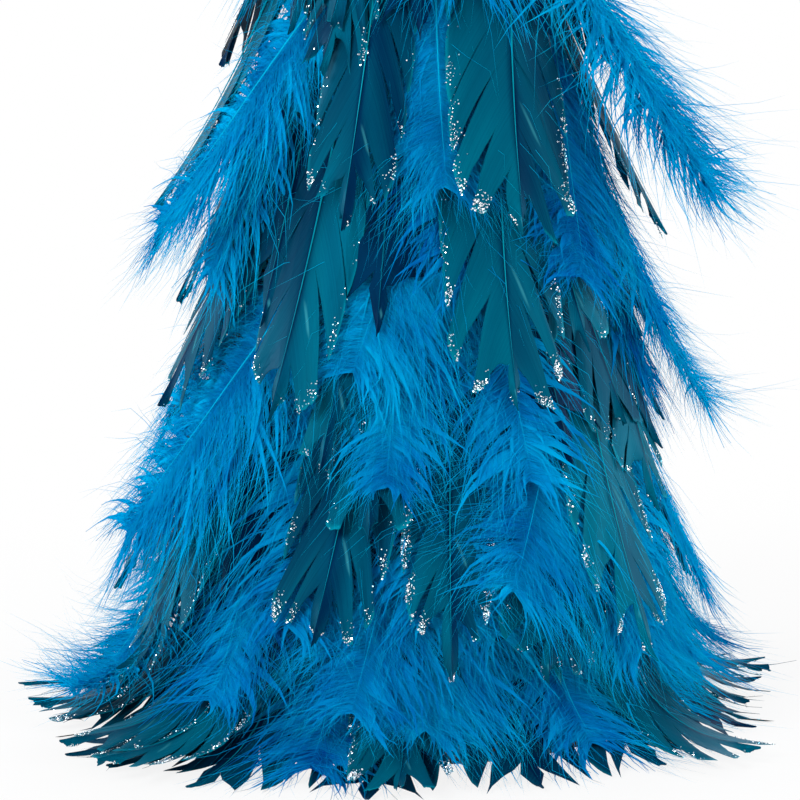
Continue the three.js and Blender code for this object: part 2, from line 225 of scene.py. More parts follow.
def row_path(row, flare=0):
    """Line down the middle of a row's feathers, as (radius, height, tilt) at even steps."""
    length = row_length(row)
    step = length * path_share / path_steps
    rise = row * row_pitch * floor_layer_share
    rest = floor_rest + rise
    bend = max(floor_bend_radius - rise, floor_bend_radius / 4)
    start = row_height(row)
    radius = cone_radius_at(start) + quill_seat * math.cos(cone_angle)
    height = start + quill_seat * math.sin(cone_angle)
    tilt = cone_angle + lift_angle
    path = [(radius, height, tilt)]
    on_floor = False
    for i in range(1, path_steps + 1):
        share = i * step / length
        curl = bend_angle * min(share, 1) ** bend_power + math.radians(flare) * share ** flare_power
        new_tilt = cone_angle + lift_angle + curl
        on_floor = on_floor or height - rest < bend * (1 - math.sin(tilt))
        if on_floor:
            new_tilt = max(tilt, min(tilt + step / bend, math.pi / 2))
        mean = (new_tilt + tilt) / 2
        radius += step * math.sin(mean)
        height -= step * math.cos(mean)
        tilt = new_tilt
        path.append((radius, height, tilt))
    return step, path


def tuft_path():
    """Path of the tuft's feathers: straight up out of the bore, then spreading."""
    step = tuft_length / path_steps
    radius, height, tilt = tuft_ring, cone_top - tuft_depth, math.pi
    path = [(radius, height, tilt)]
    for i in range(1, path_steps + 1):
        free = max(0, i * step - tuft_depth) / (tuft_length - tuft_depth)
        new_tilt = math.pi - tuft_spread * free ** tuft_spread_power
        radius += step * math.sin((new_tilt + tilt) / 2)
        height -= step * math.cos((new_tilt + tilt) / 2)
        tilt = new_tilt
        path.append((radius, height, tilt))
    return step, path


def path_point(path, s):
    """(radius, height, tilt) at a distance along a path, straight on past its ends."""
    step, points = path
    at = min(max(s / step, 0), len(points) - 1)
    i = min(int(at), len(points) - 2)
    share = at - i
    r, z, tilt = (a + (b - a) * share for a, b in zip(points[i], points[i + 1]))
    past = s - at * step
    return r + past * math.sin(tilt), z - past * math.cos(tilt), tilt


def surface_point(path, s, v, azimuth):
    """Place and outward direction, a distance s down the path and v round the axis."""
    r, z, tilt = path_point(path, s)
    turn = azimuth + v / max(r, 4 * mm)
    level = math.cos(tilt)
    place = (r * math.sin(turn), -r * math.cos(turn), z)
    return place, (level * math.sin(turn), -level * math.cos(turn), math.sin(tilt))


def guide_sheet(path, length, lean, turn, azimuth, sheet_share, sheet_span):
    """Grid over one feather's surface, which keeps its flat layout as a UV map."""
    places, outs, flat = [], [], []
    s = v = 0.0
    for i in range(sheet_rows + 1):
        share = sheet_share * i / sheet_rows
        if i:
            part = sheet_share / sheet_rows
            heading = math.radians(lean + turn * (share - part / 2))
            s += part * length * math.cos(heading)
            v += part * length * math.sin(heading)
        heading = math.radians(lean + turn * share)
        for j in range(sheet_columns + 1):
            across = (2 * j / sheet_columns - 1) * sheet_span
            place, out = surface_point(
                path, s - across * math.sin(heading), v + across * math.cos(heading), azimuth
            )
            places.append(place)
            outs.append(out)
            flat.append((i / sheet_rows, j / sheet_columns))
    wide = sheet_columns + 1
    faces = [
        (i * wide + j, (i + 1) * wide + j, (i + 1) * wide + j + 1, i * wide + j + 1)
        for i in range(sheet_rows) for j in range(sheet_columns)
    ]
    sheet = bpy.data.meshes.new("guide_sheet")
    sheet.from_pydata(places, [], faces)
    sheet.attributes.new("out", "FLOAT_VECTOR", "POINT").data.foreach_set(
        "vector", [n for out in outs for n in out]
    )
    layout = sheet.uv_layers.new(name="flat")
    for loop, corner in zip(sheet.loops, layout.data):
        corner.uv = flat[loop.vertex_index]
    return sheet


def new_object(name, data):
    """Object of a mesh, lamp or camera, put in the scene."""
    made = bpy.data.objects.new(name, data)
    bpy.context.scene.collection.objects.link(made)
    return made


# ---------------------------------------------------------------- wiring of node trees
def plug(tree, value, socket):
    """Joins a field to a socket, or sets the socket to a plain value."""
    if isinstance(value, Field):
        tree.links.new(value.socket, socket)
    else:
        socket.default_value = value


class Field:
    """A number that differs from place to place, so that node trees read as sums."""

    def __init__(self, tree, socket):
        self.tree, self.socket = tree, socket

    def sum(self, operation, *others):
        node = self.tree.nodes.new("ShaderNodeMath")
        node.operation = operation
        for value, socket in zip((self, *others), node.inputs):
            plug(self.tree, value, socket)
        return Field(self.tree, node.outputs[0])

    def __add__(self, other):
        return self.sum("ADD", other)

    def __sub__(self, other):
        return self.sum("SUBTRACT", other)

    def __rsub__(self, other):
        return self.sum("MULTIPLY_ADD", -1.0, other)

    def __mul__(self, other):
        return self.sum("MULTIPLY", other)

    def __truediv__(self, other):
        return self.sum("DIVIDE", other)

    def __pow__(self, other):
        return self.sum("POWER", other)

    def over(self, other):
        """1 where this is greater than the other."""
        return self.sum("GREATER_THAN", other)

    def least(self, other):
        return self.sum("MINIMUM", other)

    def most(self, other):
        return self.sum("MAXIMUM", other)

    __radd__ = __add__
    __rmul__ = __mul__


class Wiring:
    """A node tree under construction, for feathers or for their finishes."""

    def __init__(self, tree):
        self.tree = tree

    def node(self, kind, plugs=(), **settings):
        node = self.tree.nodes.new(kind)
        for name, value in settings.items():
            setattr(node, name, value)
        for name, value in dict(plugs).items():
            plug(self.tree, value, node.inputs[name])
        return node

    def out(self, kind, output, plugs=(), **settings):
        return Field(self.tree, self.node(kind, plugs, **settings).outputs[output])

    def vector(self, x, y, z):
        return self.out("ShaderNodeCombineXYZ", 0, {0: x, 1: y, 2: z})

    def split(self, vector):
        parts = self.node("ShaderNodeSeparateXYZ", {0: vector})
        return [Field(self.tree, parts.outputs[i]) for i in range(3)]

    def ramp(self, value, low, high, to_low=0.0, to_high=1.0):
        """Smooth rise from to_low at low to to_high at high."""
        return self.out(
            "ShaderNodeMapRange", 0, {0: value, 1: low, 2: high, 3: to_low, 4: to_high},
            interpolation_type="SMOOTHSTEP",
        )

    def noise(self, x, y=None, detail=0.0):
        """Three smooth noises between about -0.5 and 0.5 along a line, or over a plane."""
        where = {"W": x} if y is None else {"Vector": self.vector(x, y, 0.0)}
        dimensions = "1D" if y is None else "2D"
        made = self.out(
            "ShaderNodeTexNoise", "Color", {**where, "Scale": 1.0, "Detail": detail},
            noise_dimensions=dimensions,
        )
        return [part - 0.5 for part in self.split(made)]


class FeatherMaker(Wiring):
    """Geometry nodes that turn a guide sheet into one feather, with an input for each size."""

    def __init__(self, name, sheet, sizes):
        super().__init__(bpy.data.node_groups.new(name, "GeometryNodeTree"))
        self.sheet_share, self.sheet_span = sheet
        face = self.tree.interface
        face.new_socket("Sheet", in_out="INPUT", socket_type="NodeSocketGeometry")
        self.ids = {}
        for label, value in sizes.items():
            kind = {float: "Float", int: "Int"}.get(type(value), "Material")
            socket = face.new_socket(label, in_out="INPUT", socket_type="NodeSocket" + kind)
            if value is not None:
                socket.default_value = value
            self.ids[label] = socket.identifier
        face.new_socket("Feather", in_out="OUTPUT", socket_type="NodeSocketGeometry")
        self.start = self.node("NodeGroupInput")
        self.sheet = Field(self.tree, self.start.outputs["Sheet"])

    def size(self, label):
        return Field(self.tree, self.start.outputs[label])

    def chance(self, seed, number=None):
        """Three random numbers between 0 and 1 for each point, or for each number given."""
        plugs = {"Seed": seed} if number is None else {"Seed": seed, "ID": number}
        return self.split(self.out("FunctionNodeRandomValue", 0, plugs, data_type="FLOAT_VECTOR"))

    def keep(self, geometry, name, value, kind="FLOAT_VECTOR", domain="POINT"):
        return self.out(
            "GeometryNodeStoreNamedAttribute", "Geometry",
            {"Geometry": geometry, "Name": name, "Value": value}, data_type=kind, domain=domain,
        )

    def keep_grain(self, geometry, along, out):
        """Keeps a UV map for the finish: place along the shaft and out along the barb."""
        return self.keep(geometry, "grain", self.vector(along, out, 0.0), "FLOAT2", "CORNER")

    def kept(self, name):
        return self.out(
            "GeometryNodeInputNamedAttribute", "Attribute", {"Name": name}, data_type="FLOAT_VECTOR"
        )

    def place(self):
        """A point's own x, y and z."""
        return self.split(self.out("GeometryNodeInputPosition", 0))

    def number_and_side(self):
        """A copy's number, and -1 or 1 by turns for the left and right of the shaft."""
        number = self.out("GeometryNodeInputIndex", 0)
        return number, number.sum("MODULO", 2.0) * 2.0 - 1.0

    def copies(self, count, shape, kept):
        """One copy of a shape for each of the kept values, ready to be laid on the sheet."""
        points = self.out("GeometryNodePoints", "Points", {"Count": count})
        for name, value in kept.items():
            points = self.keep(points, name, value)
        copies = self.out(
            "GeometryNodeInstanceOnPoints", "Instances", {"Points": points, "Instance": shape}
        )
        return self.out("GeometryNodeRealizeInstances", "Geometry", {"Geometry": copies})

    def lay(self, geometry, down, across, out, sag=0.0):
        """Moves points from their flat layout to the sheet, sagging, but not into the floor."""
        share = down / self.size("Length")
        arch = self.ramp(share, 0.0, 0.5) * self.ramp(share, 0.6, 1.1, 1.0, 0.2)
        out = out + arch * self.size("Rise")
        spot = self.vector(
            (share / self.sheet_share).most(0.001).least(0.999),
            (across / (2 * self.sheet_span) + 0.5).most(0.001).least(0.999), 0.0,
        )
        places, outs = (
            self.split(self.out(
                "GeometryNodeSampleUVSurface", "Value",
                {"Mesh": self.sheet, "Value": value, "UV Map": self.kept("flat"),
                 "Sample UV": spot}, data_type="FLOAT_VECTOR",
            ))
            for value in (self.out("GeometryNodeInputPosition", 0), self.kept("out"))
        )
        x, y, z = (place + away * out for place, away in zip(places, outs))
        return self.out(
            "GeometryNodeSetPosition", "Geometry",
            {"Geometry": geometry, "Position": self.vector(x, y, (z - sag).most(floor_gap))},
        )

    def finish(self, parts):
        """Ends the tree: every part gets its finish, is realized and joined."""
        joined = self.node("GeometryNodeJoinGeometry")
        for geometry, finish in reversed(parts):
            real = self.out("GeometryNodeRealizeInstances", "Geometry", {"Geometry": geometry})
            done = self.out(
                "GeometryNodeSetMaterial", "Geometry", {"Geometry": real, "Material": finish}
            )
            self.tree.links.new(done.socket, joined.inputs[0])
        end = self.node("NodeGroupOutput")
        self.tree.links.new(joined.outputs[0], end.inputs["Feather"])
        return self

    def make(self, sheet, sizes):
        """Runs the tree over a guide sheet and returns the feather as a plain mesh."""
        holder = new_object("feather_on_guide", sheet)
        modifier = holder.modifiers.new("make", "NODES")
        modifier.node_group = self.tree
        for label, value in sizes.items():
            modifier[self.ids[label]] = value
        depsgraph = bpy.context.evaluated_depsgraph_get()
        mesh = bpy.data.meshes.new_from_object(holder.evaluated_get(depsgraph))
        bpy.data.objects.remove(holder)
        bpy.data.meshes.remove(sheet)
        for name in ("root", "run", "sway", "strip", "splits", "rim", "out"):
            if name in mesh.attributes:
                mesh.attributes.remove(mesh.attributes[name])
        return mesh


def strand_shape(maker, segments, sides):
    """Closed tapering strand one unit long, as wide as a unit circle at its root."""
    return maker.out(
        "GeometryNodeMeshCone", "Mesh",
        {"Vertices": sides, "Side Segments": segments, "Fill Segments": 1, "Radius Top": 0.0,
         "Radius Bottom": 1.0, "Depth": 1.0},
        fill_type="NGON",
    )


def shaft(maker, raised, paler):
    """The feather's rachis: a tapering rib down its middle, paler than the rest by some share."""
    length, radius = maker.size("Length"), maker.size("Shaft radius")
    points = maker.copies(1, strand_shape(maker, 26, 6), {"root": maker.vector(0.0, 0.0, 0.0)})
    x, y, z = maker.place()
    rib = maker.keep(points, "barb", maker.vector(1.0, 0.7, maker.size("Shade") + paler))
    rib = maker.keep_grain(rib, 0.5, z)
    return maker.lay(
        rib, z * length * maker.size("Rib share"), y * radius * -1.0, x * radius + raised
    )


def thin_plate(maker, stations, rings):
    """Closed thin plate one unit wide, long and thick, with smooth faces and crisp rims."""
    plate = maker.out("GeometryNodeMeshCube", "Mesh", {
        "Size": (1.0, 1.0, 1.0), "Vertices X": stations, "Vertices Y": rings, "Vertices Z": 2,
    })
    crease = maker.out("GeometryNodeInputMeshEdgeAngle", 0).over(1.0)
    return maker.out(
        "GeometryNodeSetShadeSmooth", "Geometry",
        {"Geometry": plate, "Selection": crease, "Shade Smooth": False}, domain="EDGE",
    )


# ---------------------------------------------------------------- soft plumes
def barb_starts(maker, count, shape, seed, unruly, thickness):
    """Copies of a shape, each with its own start on the rib and its own way outwards."""
    length, half = maker.size("Length"), maker.size("Half width")
    bare, fluff = maker.size("Bare share"), maker.size("Fluff")
    number, side = maker.number_and_side()
    near, far, jitter = maker.chance(seed)
    height, stray, tone = maker.chance(seed + 50)
    share = bare + (maker.size("Rib share") - bare) * (number + jitter) / count
    gather = maker.noise(share * length / maker.size("Clump width") + side * 31.7 + seed * 7.3)
    wide = maker.ramp(share, bare, 0.24) * maker.ramp(share, 0.55, 0.9, 1.0, 0.45)
    astray = stray.over(0.9)
    short = 1.0 - tone.over(0.55) * (0.15 + far * 0.4)
    reach = half * wide * short * (
        1.0 + gather[0] * 1.3 + (near - 0.5) * 0.8 * unruly + astray * unruly * 0.2
    )
    forward = half * wide * short * maker.size("Forward") * (
        0.8 + share * 0.85 + (far - 0.5) * 1.1 * unruly - gather[0] * 0.8
    )
    lift = fluff * (height - 0.36) * (0.5 + unruly * 0.6 + astray * 1.2)
    return maker.copies(count, shape, {
        "root": maker.vector(share * length, side, reach),
        "run": maker.vector(forward, lift, thickness * (0.6 + near * 0.8)),
        "sway": maker.vector(gather[1], gather[2], tone),
    })


def barb_course(maker, t, unruly):
    """Middle line of a barb: how far down, across and out it is at a share of its length."""
    fluff, clump = maker.size("Fluff"), maker.size("Clump")
    start, side, reach = maker.split(maker.kept("root"))
    forward, lift, width = maker.split(maker.kept("run"))
    sway, heave, tone = maker.split(maker.kept("sway"))
    wave = maker.noise(start * barb_waves + tone * 37.0 * unruly, t * 1.4 + side * 5.0)
    free = t * t * (0.4 + unruly)
    down = start + forward * t * (0.5 + t * 0.5) + sway * clump * t * t
    down = down + wave[0] * free * barb_sway[0]
    across = side * reach * t * (1.6 - t * 0.6) + heave * clump * t * t
    across = across + wave[1] * free * barb_sway[1]
    out = lift * t ** 1.3 + heave * fluff * 0.9 * t * t + wave[2] * t * barb_sway[2]
    slant = (reach * reach + forward * forward) ** 0.5 + 0.1 * mm
    return down, across, out, side * reach / slant, forward / slant, width, start, tone


def plume_maker():
    """Plume: soft locks of down on both sides of a thin rib, with fine barbs straying over them."""
    maker = FeatherMaker("plume of soft barbs", plume_sheet, {
        "Length": 100 * mm, "Half width": 16 * mm, "Locks": 340, "Lock width": 2.5 * mm,
        "Barbs": 1000, "Segments": 4, "Bare share": 0.08, "Barb radius": 0.1 * mm,
        "Fluff": 6.5 * mm, "Clump": 8 * mm, "Clump width": 5 * mm, "Forward": 1.0,
        "Sag": 3 * mm, "Rib share": 0.87, "Shaft radius": 0.4 * mm, "Rise": 0.0, "Shade": 0.5,
        "Seed": 1, "Finish": None,
    })
    seed, shade, sag = maker.size("Seed"), maker.size("Shade"), maker.size("Sag")
    x, y, z = maker.place()

    # Locks: flat tapering bundles of down that lie on each other
    locks = barb_starts(
        maker, maker.size("Locks"), thin_plate(maker, 2, 6), seed + 200, 0.8,
        maker.size("Lock width"),
    )
    t = (y + 0.5) * 0.86
    down, across, out, aside, along, width, start, tone = barb_course(maker, t, 0.6)
    full = width * maker.ramp(t, 0.0, 0.2, 0.7, 1.0) * (1.01 - maker.ramp(t, 0.0, 0.9)) ** 1.4
    offset = x * full
    locks = maker.keep(locks, "barb", maker.vector(t * 0.7, tone, shade - 0.06))
    locks = maker.keep_grain(locks, start * plume_grain + x * 1.3, t)
    locks = maker.lay(
        locks, down + aside * offset, across - along * offset,
        out * 0.7 + lock_gap + x * full * (tone - 0.5) * 0.9 + z * lock_thickness, sag * t * t,
    )

    # Barbs: single fine strands over the locks and beyond their ends
    barbs = barb_starts(
        maker, maker.size("Barbs"), strand_shape(maker, maker.size("Segments"), 3), seed, 1.0,
        maker.size("Barb radius"),
    )
    down, across, out, aside, along, width, start, tone = barb_course(maker, z, 1.0)
    fat = width * (1.0 + z * 0.5)
    barbs = maker.keep(barbs, "barb", maker.vector(z, tone, shade + 0.06))
    barbs = maker.keep_grain(barbs, start * plume_grain, z)
    barbs = maker.lay(
        barbs, down + aside * y * fat, across - along * y * fat, out + barb_gap + x * fat,
        sag * z * z,
    )
    rib = shaft(maker, plume_rib_gap, 0.2)
    finish = maker.size("Finish")
    return maker.finish([(locks, finish), (barbs, finish), (rib, finish)])


# ---------------------------------------------------------------- stiff vanes
def vane_maker():
    """Vane: webs of locked barbs on both sides of a rib, with splits, and glitter on the rim."""
    maker = FeatherMaker("stiff vane with glitter", vane_sheet, {
        "Length": 100 * mm, "Half width": 12 * mm, "Webs": 9, "Web stations": 7, "Web rings": 9,
        "Bare share": 0.1, "Slope": 2.1, "Split": 7 * mm, "Camber": 2 * mm, "Ripple": 0.4 * mm,
        "Curl": 3 * mm, "Thickness": 0.22 * mm, "Rib share": 0.95, "Shaft radius": 0.5 * mm,
        "Rise": 0.0, "Fingers": 0.6, "Shade": 0.5, "Seed": 1, "Finish": None, "Loose barbs": 2,
        "Flakes": 1.0, "Flake radius": 0.18 * mm, "Glitter": None,
    })
    length, half, seed = maker.size("Length"), maker.size("Half width"), maker.size("Seed")
    bare, webs, shade = maker.size("Bare share"), maker.size("Webs"), maker.size("Shade")

    # One web: a closed thin plate between two splits
    plate = thin_plate(maker, maker.size("Web stations"), maker.size("Web rings"))
    number, side = maker.number_and_side()
    order = (number / 2.0).sum("FLOOR")
    above = maker.chance(seed, order + side * 100.0 + 500.0)
    below = maker.chance(seed, order + side * 100.0 + 501.0)
    own = maker.chance(seed + 9)
    top = bare + (1.0 - bare) * (order + (above[0] - 0.5) * 0.5 * order.over(0.5)) / webs
    bottom = bare + (1.0 - bare) * (order + 1.0 + (below[0] - 0.5) * 0.5) / webs
    last = order.over(webs - 1.5)
    bottom = bottom * (1.0 - last) + last
    sheets = maker.copies(webs * 2.0, plate, {
        "root": maker.vector(top, bottom, side),
        "splits": maker.vector(above[1] ** 2.5, below[1] ** 2.5, own[0]),
        "strip": maker.vector(own[1], own[2], last),
    })

    # The curve of each barb in its web, from the rib to the rim
    x, y, z = maker.place()
    top, bottom, side = maker.split(maker.kept("root"))
    split_above, split_below, lean = maker.split(maker.kept("splits"))
    curl, slip, last = maker.split(maker.kept("strip"))
    t = y + 0.5
    p = x * side + 0.5
    finger = maker.ramp(t, 0.25, 1.0) * maker.ramp((top + bottom) * 0.5, 0.35, 0.85)
    point = slip * 0.6 + 0.2 + last * (0.65 - slip * 0.6)
    p = p + (point - p) * (finger * maker.size("Fingers")).least(1.0)
    share = top + (bottom - top) * p
    rim_place = share + 0.14
    closing = 1.0 - maker.ramp(rim_place, 0.52, 1.15) ** 2.2
    rim = half * maker.ramp(rim_place, 0.08, 0.34) * closing
    ragged = maker.noise(share * length * rag_waves + side * 9.0 + seed * 3.1)
    loose = maker.ramp(share, 0.3, 0.85)
    rim = rim * (1.0 + (slip - 0.5) * 0.16 * loose) + least_rim
    forward = (
        rim * maker.size("Slope") * (1.0 + share * 0.3) + ragged[0] * rag_depth * (0.3 + loose)
        + (lean - 0.5) * lean_depth * loose
    )
    opening = maker.ramp(t, 0.25, 1.0) * maker.size("Split") * (0.12 + loose)
    parting = opening * ((1.0 - p) * split_above - p * split_below)
    down = share * length + forward * t * (0.85 + t * 0.15) + parting
    wave = maker.noise(share * length * ripple_waves + seed * 5.3, t * 1.3 + side * 4.0)
    camber = maker.size("Camber")
    across = side * rim * t * (1.1 - t * 0.1) * (1.0 - (p * 2.0 - 1.0) ** 4.0 * 0.05)
    out = (
        web_gap - camber * t ** 1.6 + wave[0] * t * maker.size("Ripple") * 2.4
        + (curl - 0.45) * t * t * t * maker.size("Curl") * rim / half
    )
    thin = maker.size("Thickness") * z * (1.15 - t * 0.75)
    # Painted light: each half of the vane gets its own random lightness, so one side of the rib
    # reads lit and the other shaded
    painted_half_light = maker.chance(seed + 77, side)[0]
    sheets = maker.keep(sheets, "barb", maker.vector(t, painted_half_light, shade))
    sheets = maker.keep_grain(sheets, share * length * vane_grain + side * 40.0, t)
    place = share + forward * t / length
    sheets = maker.keep(sheets, "rim", maker.vector(place, t, z))
    sheets = maker.lay(sheets, down, across, out + thin)

    # Glitter flakes glued to the rim near the tip
    place, edge, face = maker.split(maker.kept("rim"))
    patchy = maker.noise(place * length * glitter_waves + seed * 2.7 + side * 5.0)[0]
    dense = maker.ramp(place, 0.5, 0.95) * maker.ramp(edge, 0.84, 1.0)
    dense = dense * (0.35 + patchy * 3.6).most(0.0)
    scatter = maker.node("GeometryNodeDistributePointsOnFaces", {
        "Mesh": sheets, "Selection": face.over(0.2),
        "Density": dense * maker.size("Flakes") * flakes_per_square_metre, "Seed": seed + 3,
    })
    spots, normal, rotation = (
        Field(maker.tree, scatter.outputs[name]) for name in ("Points", "Normal", "Rotation")
    )
    flake = maker.out(
        "GeometryNodeMeshCylinder", "Mesh",
        {"Vertices": 6, "Side Segments": 1, "Fill Segments": 1, "Radius": 1.0, "Depth": 0.45},
        fill_type="NGON",
    )
    angles = maker.out(
        "FunctionNodeRandomValue", 0,
        {0: (-0.8, -0.8, -3.0), 1: (0.8, 0.8, 3.0), "Seed": seed + 4}, data_type="FLOAT_VECTOR",
    )
    tilt = maker.out("FunctionNodeEulerToRotation", 0, {0: angles})
    facing = maker.out(
        "FunctionNodeRotateRotation", 0, {"Rotation": rotation, "Rotate By": tilt},
        rotation_space="LOCAL",
    )
    grow = maker.chance(seed + 5)[0] * 0.7 + 0.65
    scale = grow * maker.size("Flake radius")
    away = maker.out("ShaderNodeVectorMath", 0, {0: normal, "Scale": flake_gap}, operation="SCALE")
    raised = maker.out("GeometryNodeSetPosition", 0, {"Geometry": spots, "Offset": away})
    flakes = maker.out("GeometryNodeInstanceOnPoints", "Instances", {
        "Points": raised, "Instance": flake, "Rotation": facing,
        "Scale": maker.vector(scale, scale, scale),
    })

    # Loose barbs that have come away from the webs
    x, y, z = maker.place()
    near, far, tone = maker.chance(seed + 6)
    number, side = maker.number_and_side()
    threads = maker.copies(maker.size("Loose barbs"), strand_shape(maker, 10, 3), {
        "root": maker.vector((0.08 + near * 0.5) * length, side, half * (0.45 + far * 0.5)),
        "run": maker.vector(half * (1.4 + tone * 1.2), tone, near),
    })
    start, side, reach = maker.split(maker.kept("root"))
    forward, tone, near = maker.split(maker.kept("run"))
    wave = maker.noise(start * thread_waves + tone * 20.0, z * 1.1)
    fat = thread_radius * (1.0 + near)
    threads = maker.keep(threads, "barb", maker.vector(z * 0.9, 0.7, shade))
    threads = maker.keep_grain(threads, start * vane_grain, z)
    threads = maker.lay(
        threads,
        start + forward * z * (0.6 + z * 0.5) + wave[0] * z * thread_sway[0],
        side * reach * z * (1.9 - z) + wave[1] * z * thread_sway[1] + y * fat,
        thread_gap + (tone - 0.4) * thread_sag * z + x * fat, z * z * thread_sag,
    )
    finish = maker.size("Finish")
    return maker.finish([
        (sheets, finish), (threads, finish), (shaft(maker, vane_rib_gap, 0.8), finish),
        (flakes, maker.size("Glitter")),
    ])


# ---------------------------------------------------------------- finishes
class Finish(Wiring):
    """A material whose shader is a Principled one with its patterns wired in."""

    def __init__(self, name, roughness=0.6, **constants):
        self.material = bpy.data.materials.new(name)
        self.material.use_nodes = True
        super().__init__(self.material.node_tree)
        self.shader = self.tree.nodes["Principled BSDF"]
        self.set("Roughness", roughness)
        for label, value in constants.items():
            self.set(label.replace("_", " "), value)

    def set(self, label, value):
        plug(self.tree, value, self.shader.inputs[label])

    def blend(self, share, first, second):
        """Colour between two others; the share is cut to 0..1."""
        node = self.node("ShaderNodeMix", data_type="RGBA")
        plug(self.tree, share, node.inputs[0])
        for colour, socket in ((first, node.inputs[6]), (second, node.inputs[7])):
            plug(self.tree, colour, socket)
        return Field(self.tree, node.outputs[2])

    def kept(self, name):
        return self.split(self.out("ShaderNodeAttribute", "Vector", attribute_name=name))

    def grain(self):
        """Place on the feather: along its shaft and out along the barb."""
        return self.split(self.out("ShaderNodeUVMap", 0, uv_map="grain"))

    def cloud(self, x, y, z, detail):
        """Noise through space from about 0 to 1, so many waves to the metre along each axis."""
        spot = self.split(self.out("ShaderNodeTexCoord", "Object"))
        where = self.vector(spot[0] * x, spot[1] * y, spot[2] * z)
        return self.out(
            "ShaderNodeTexNoise", "Fac", {"Vector": where, "Scale": 1.0, "Detail": detail}
        )

    def mix_in(self, other, share):
        """Puts some share of another shader in place of as much of the Principled one."""
        mix = self.node("ShaderNodeMixShader", {0: share})
        self.tree.links.new(self.shader.outputs[0], mix.inputs[1])
        self.tree.links.new(other.outputs[0], mix.inputs[2])
        self.tree.links.new(mix.outputs[0], self.tree.nodes["Material Output"].inputs["Surface"])

    def bump(self, height, distance, strength=1.0):
        self.set("Normal", self.out(
            "ShaderNodeBump", "Normal",
            {"Height": height, "Distance": distance, "Strength": strength},
        ))


def srgb(red, green, blue):
    """Colour as written in a picture, from 0 to 255, for a shader."""
    def light(value):
        value /= 255
        return value / 12.92 if value <= 0.04045 else ((value + 0.055) / 1.055) ** 2.4
    return (light(red), light(green), light(blue), 1.0)


def azure_plume():
    """Dyed down: royal blue near the rib, azure along the barbs, with painted light making their
    ends paler cyan.
    """
    finish = Finish("azure_plume", 0.7, Specular_IOR_Level=0.0, Sheen_Weight=0.15,
                    Sheen_Roughness=0.5, Sheen_Tint=srgb(0, 150, 220))
    t, tone, shade = finish.kept("barb")
    grain = finish.grain()
    fine = finish.noise(grain[0] * 9.0, grain[1] * 1.4, 2.0)[0]
    patch = finish.cloud(60.0, 60.0, 38.0, 2.0)
    level = (
        shade * 0.9 + (tone - 0.5) * 0.24 + (patch - 0.5) * 1.7 + fine * 0.36 + t * 0.25 + 0.13
    )
    colour = finish.blend(level * 2.4 + 0.6, srgb(0, 46, 138), srgb(0, 120, 208))
    colour = finish.blend(level, colour, srgb(0, 188, 244))
    # Painted light: the barbs' ends turn paler cyan, as light shining through them from behind
    colour = finish.blend(finish.ramp(t, 0.45, 1.0) * 0.45, colour, srgb(10, 210, 234))
    finish.set("Base Color", colour)
    finish.set("Roughness", 0.6 + patch * 0.25)
    # Thin down lets some light shine through from behind
    glow = finish.blend(level + t * 0.3, srgb(0, 112, 172), srgb(10, 214, 226))
    finish.mix_in(finish.node("ShaderNodeBsdfTranslucent", {"Color": glow}), 0.35)
    return finish.material


def petrol_vane():
    """Dyed quill feather: petrol teal with fine barb lines, paler at the rims, with painted shade
    by the rib and on one half.
    """
    finish = Finish("petrol_vane", 0.42, Metallic=0.12, Specular_IOR_Level=0.06,
                    Specular_Tint=srgb(20, 210, 230))
    t, painted_half_light, shade = finish.kept("barb")
    grain = finish.grain()
    fine = finish.noise(grain[0] * 11.0, grain[1] * 0.3, 1.0)[0]
    broad = finish.noise(grain[0] * 0.45, grain[1] * 0.8, 0.0)
    wear_and_highlight = finish.noise(grain[0] * 1.6, grain[1] * 1.6, 1.0)
    # Painted shade: the two halves differ in lightness as light falls on the camber, and a band
    # beside the rib is darkened as the raised rib's shadow
    colour = finish.blend(
        shade * 0.8 + (painted_half_light - 0.5) * 0.5 + fine * 0.34 + broad[1] * 0.6 + t * 0.1 + 0.06
        - finish.ramp(t, 0.0, 0.12, 0.35, 0.0),
        srgb(0, 32, 66), srgb(0, 96, 120),
    )
    rim = finish.ramp(t, 0.93, 1.0) * (shade * 0.6 + 0.1)
    colour = finish.blend(rim, colour, srgb(0, 146, 168))
    # Pale patches, partly wear and partly a painted satin highlight
    colour = finish.blend(finish.ramp(wear_and_highlight[0] + broad[2] * 0.6, 0.3, 0.45) * 0.3, colour,
                          srgb(70, 172, 186))
    finish.set("Base Color", colour)
    finish.set("Roughness", 0.42 + fine * 0.1 + broad[0] * 0.12)
    finish.bump(fine, 0.00003, 0.25)
    return finish.material


def silver_glitter():
    """Silver flakes with a little of the dye's colour in some of them."""
    finish = Finish("silver_glitter", 0.22, Metallic=1.0)
    spot = finish.out("ShaderNodeTexCoord", "Object")
    patch = finish.out("ShaderNodeTexNoise", "Fac", {"Vector": spot, "Scale": 900.0})
    finish.set("Base Color", finish.blend(
        finish.ramp(patch, 0.45, 0.7), srgb(248, 250, 252), srgb(120, 205, 225)))
    finish.set("Roughness", 0.12 + patch * 0.25)
    return finish.material


def kraft_paper():
    """Brown craft paper with short fibres."""
    finish = Finish("kraft_paper", 0.85, Specular_IOR_Level=0.2)
    fibre = finish.cloud(900.0, 900.0, 260.0, 4.0)
    stain = finish.cloud(60.0, 60.0, 60.0, 2.0)
    finish.set("Base Color", finish.blend(
        fibre * 0.7 + stain * 0.5 - 0.1, srgb(112, 78, 52), srgb(168, 126, 88)))
    finish.set("Roughness", 0.78 + fibre * 0.2)
    finish.bump(fibre, 0.0002, 0.6)
    return finish.material


